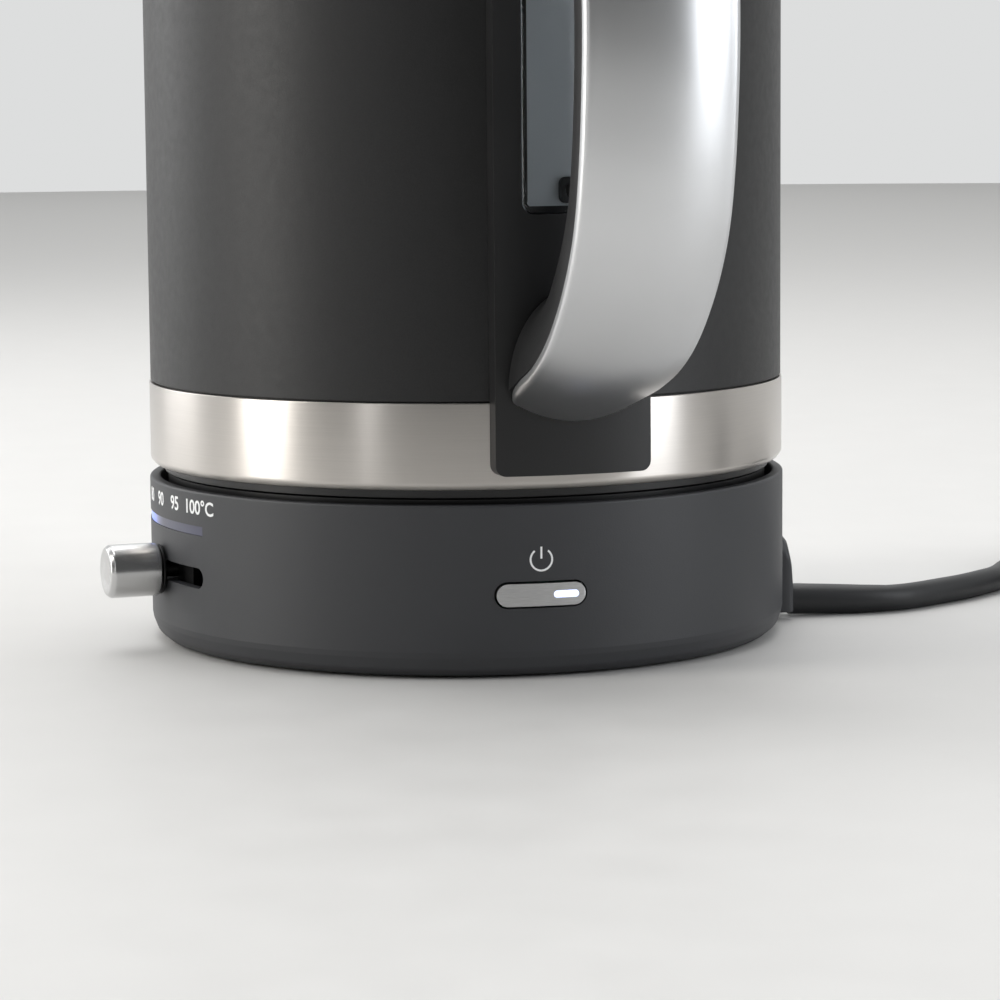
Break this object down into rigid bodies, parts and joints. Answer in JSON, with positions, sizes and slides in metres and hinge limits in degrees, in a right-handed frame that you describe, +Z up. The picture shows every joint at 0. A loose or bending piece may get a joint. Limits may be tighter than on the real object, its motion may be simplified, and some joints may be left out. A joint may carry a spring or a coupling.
{
  "type": "electric kettle",
  "caption": "Cordless electric kettle on a round power base, with a slider for the temperature, a power button, a C-shaped handle with a sight gauge behind it and a hinged lid.",
  "frame": {"origin": "on the table under the kettle's axis", "axes": "+Z up; +X from the axis to the handle; -X to the spout; the cord leaves the base on the +Y side and the temperature scale faces -Y"},
  "size_m": [0.239, 0.3563, 0.247],
  "materials": {
    "base_grey": "fine matt texture, dark grey",
    "black_plastic": "satin black moulding",
    "circuit_board": "green circuit board",
    "light_pipe": "milky light pipe",
    "satin_metal": "satin, bead blasted",
    "steel_parts": "plain bright steel",
    "brushed_band": "brushed around the body",
    "vessel_steel": "satin stainless",
    "heater_aluminium": "cast aluminium",
    "black_coat": "fine-grained matt black coat",
    "clear_window": "clear moulding",
    "rubber_feet": "matt black",
    "seal_rubber": "matt black silicone",
    "cord_rubber": "matt dark sheath"
  },
  "bodies": {
    "base": {"base_housing": "base_grey", "base_bottom_cover": "base_grey", "base_connector": "black_plastic", "control_board": "circuit_board", "power_switch": "circuit_board", "slider_track": "circuit_board", "light_bar": "light_pipe", "cord_boss": "base_grey", "cord_clamp": "black_plastic", "power_button_spring": "steel_parts", "foot_1": "rubber_feet", "foot_2": "rubber_feet", "foot_3": "rubber_feet", "foot_4": "rubber_feet", "base_screw_1": "steel_parts", "base_screw_2": "steel_parts", "base_screw_3": "steel_parts", "cord_relief": "cord_rubber", "cord_run": "cord_rubber", "cord_coil": "cord_rubber", "cord_tie": "cord_rubber", "cord_tail": "cord_rubber", "plug_body": "cord_rubber", "plug_pin_1": "steel_parts", "plug_pin_2": "steel_parts"},
    "temperature_slider": {"slider_knob": "satin_metal", "slider_stem": "black_plastic", "slider_carriage": "black_plastic"},
    "power_button": {"power_button": "satin_metal", "power_button_light": "light_pipe"},
    "kettle_socket": {"kettle_connector": "black_plastic"},
    "kettle": {"bottom_skirt": "black_plastic", "steel_band": "brushed_band", "body_wall": "black_coat", "inner_vessel": "vessel_steel", "heater_plate": "heater_aluminium", "temperature_sensor": "steel_parts", "rim_collar": "black_plastic", "spout": "black_coat", "spout_filter": "black_plastic", "handle_plate": "black_plastic", "sight_window": "clear_window", "gauge_port_lower": "seal_rubber", "gauge_port_upper": "seal_rubber", "handle_shell": "satin_metal", "handle_grip": "black_plastic", "handle_screw_lower": "steel_parts", "handle_screw_upper": "steel_parts", "lid_hinge_pin": "steel_parts", "lid_spring": "steel_parts", "lid_button_spring": "steel_parts"},
    "lid": {"lid_cover": "black_coat", "lid_liner": "black_plastic", "lid_seal": "seal_rubber"},
    "lid_button": {"lid_button": "black_plastic"},
    "lid_latch": {"lid_latch": "black_plastic"}
  },
  "joints": [
    {"name": "kettle_lift", "type": "slide", "parent": "base", "child": "kettle_socket", "axis": [0, 0, 1], "range_m": [0, 0.08]},
    {"name": "kettle_swivel", "type": "hinge", "parent": "kettle_socket", "child": "kettle", "pos_m": [0, 0, 0.04], "axis": [0, 0, 1], "continuous": true},
    {"name": "lid_hinge", "type": "hinge", "parent": "kettle", "child": "lid", "pos_m": [0.074, 0, 0.234], "axis": [0, 1, 0], "range_deg": [0, 75]},
    {"name": "lid_button_press", "type": "slide", "parent": "kettle", "child": "lid_button", "axis": [0, 0, -1], "range_m": [0, 0.003], "stiffness_N_per_m": 1500, "springref_m": -0.001, "deforming": ["lid_button_spring"]},
    {"name": "lid_latch_slide", "type": "slide", "parent": "kettle", "child": "lid_latch", "axis": [1, 0, 0], "range_m": [0, 0.003]},
    {"name": "temperature_slide", "type": "hinge", "parent": "base", "child": "temperature_slider", "pos_m": [0, 0, 0.0197], "axis": [0, 0, 1], "range_deg": [-30.4, 15.2]},
    {"name": "power_button_press", "type": "slide", "parent": "base", "child": "power_button", "axis": [-0.9957, 0.0924, 0], "range_m": [0, 0.0012], "stiffness_N_per_m": 2500, "springref_m": -0.0005}
  ],
  "couplings": [
    {"joint": "lid_latch_slide", "follows": "lid_button_press", "ratio": 1}
  ]
}
